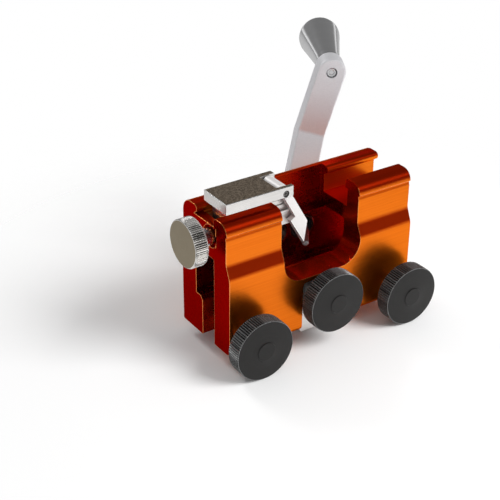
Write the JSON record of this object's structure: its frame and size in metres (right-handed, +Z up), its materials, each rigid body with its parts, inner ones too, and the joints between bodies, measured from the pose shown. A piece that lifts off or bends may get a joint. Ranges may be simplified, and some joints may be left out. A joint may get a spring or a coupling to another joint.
{
  "type": "chainsaw sharpening jig",
  "caption": "Clamp-on sharpening jig: a saddle over a saw's guide bar, knurled clamp knobs, a screw-driven stop carriage with a pawl, and a hand crank that turns a burr in a slanted guide bore.",
  "frame": {"origin": "middle of the bar face, the flat land of the back wall that bears on the side of the saw's guide bar", "axes": "+X along the guide bar, away from the adjuster knob; +Y from the bar face through the back wall, towards the crank; +Z up, out of the saddle"},
  "size_m": [0.1241, 0.1059, 0.0981],
  "materials": {
    "orange_anodised": "satin orange anodised",
    "bare_aluminium": "satin, machined",
    "black_plastic": "matte, knurled rims",
    "bright_steel": "bright, turned",
    "dark_steel": "black oxide",
    "carbide": "ground carbide",
    "white_nylon": "smooth"
  },
  "bodies": {
    "saddle": {"main_body": "orange_anodised", "guide_bushing_left": "dark_steel", "guide_bushing_right": "dark_steel", "vise_block": "bare_aluminium"},
    "left_pad": {"left_clamp_pad": "white_nylon"},
    "left_clamp": {"left_clamp_knob": "black_plastic", "left_clamp_screw": "bright_steel"},
    "right_pad": {"right_clamp_pad": "white_nylon"},
    "right_clamp": {"right_clamp_knob": "black_plastic", "right_clamp_screw": "bright_steel"},
    "middle_pad": {"middle_clamp_pad": "white_nylon"},
    "middle_clamp": {"middle_clamp_knob": "black_plastic", "middle_clamp_screw": "bright_steel"},
    "carriage": {"stop_carriage": "bare_aluminium", "pawl_pin": "dark_steel"},
    "pawl": {"stop_pawl": "bare_aluminium"},
    "adjuster": {"adjuster_knob": "bare_aluminium", "adjuster_collar": "bright_steel", "lead_screw": "bright_steel", "lead_screw_clip": "dark_steel"},
    "crank": {"crank_arm": "bare_aluminium", "bit_set_screw": "dark_steel", "handle_axle": "bright_steel", "handle_washer": "bright_steel"},
    "grip": {"crank_grip": "bare_aluminium"},
    "bit": {"bit_shank": "bright_steel", "burr": "carbide"}
  },
  "joints": [
    {"name": "left_clamp_travel", "type": "slide", "parent": "saddle", "child": "left_pad", "axis": [0, 1, 0], "range_m": [-0.00061, 0.00401]},
    {"name": "left_clamp_turn", "type": "hinge", "parent": "left_pad", "child": "left_clamp", "pos_m": [-0.036, -0.02, -0.0012], "axis": [0, 1, 0], "range_deg": [-216, 1440]},
    {"name": "right_clamp_travel", "type": "slide", "parent": "saddle", "child": "right_pad", "axis": [0, 1, 0], "range_m": [-0.00061, 0.00401]},
    {"name": "right_clamp_turn", "type": "hinge", "parent": "right_pad", "child": "right_clamp", "pos_m": [0.036, -0.02, -0.0012], "axis": [0, 1, 0], "range_deg": [-216, 1440]},
    {"name": "middle_clamp_travel", "type": "slide", "parent": "saddle", "child": "middle_pad", "axis": [0, 1, 0], "range_m": [-0.00061, 0.00261]},
    {"name": "middle_clamp_turn", "type": "hinge", "parent": "middle_pad", "child": "middle_clamp", "pos_m": [0, -0.02, 0.0063], "axis": [0, 1, 0], "range_deg": [-216, 936]},
    {"name": "carriage_travel", "type": "slide", "parent": "saddle", "child": "carriage", "axis": [1, 0, 0], "range_m": [0, 0.01201]},
    {"name": "adjuster_turn", "type": "hinge", "parent": "saddle", "child": "adjuster", "pos_m": [-0.05, -0.0059, 0.0387], "axis": [1, 0, 0], "range_deg": [-6171.4, 0]},
    {"name": "pawl_swing", "type": "hinge", "parent": "carriage", "child": "pawl", "pos_m": [-0.0152, -0.01, 0.0519], "axis": [0, -1, 0], "range_deg": [-28, 20]},
    {"name": "crank_turn", "type": "hinge", "parent": "saddle", "child": "crank", "pos_m": [0.00664, 0.0045, 0.0233], "axis": [0.5, 0.866, 0], "continuous": true},
    {"name": "grip_spin", "type": "hinge", "parent": "crank", "child": "grip", "pos_m": [0.04453, 0.04036, 0.07521], "axis": [0.5, 0.866, 0], "continuous": true},
    {"name": "bit_reach", "type": "slide", "parent": "crank", "child": "bit", "axis": [0.5, 0.866, 0], "range_m": [0, 0.004]}
  ],
  "couplings": [
    {"joint": "left_clamp_travel", "follows": "left_clamp_turn", "m_per_rad": 0.00015915},
    {"joint": "right_clamp_travel", "follows": "right_clamp_turn", "m_per_rad": 0.00015915},
    {"joint": "middle_clamp_travel", "follows": "middle_clamp_turn", "m_per_rad": 0.00015915},
    {"joint": "carriage_travel", "follows": "adjuster_turn", "m_per_rad": -0.00011141}
  ]
}
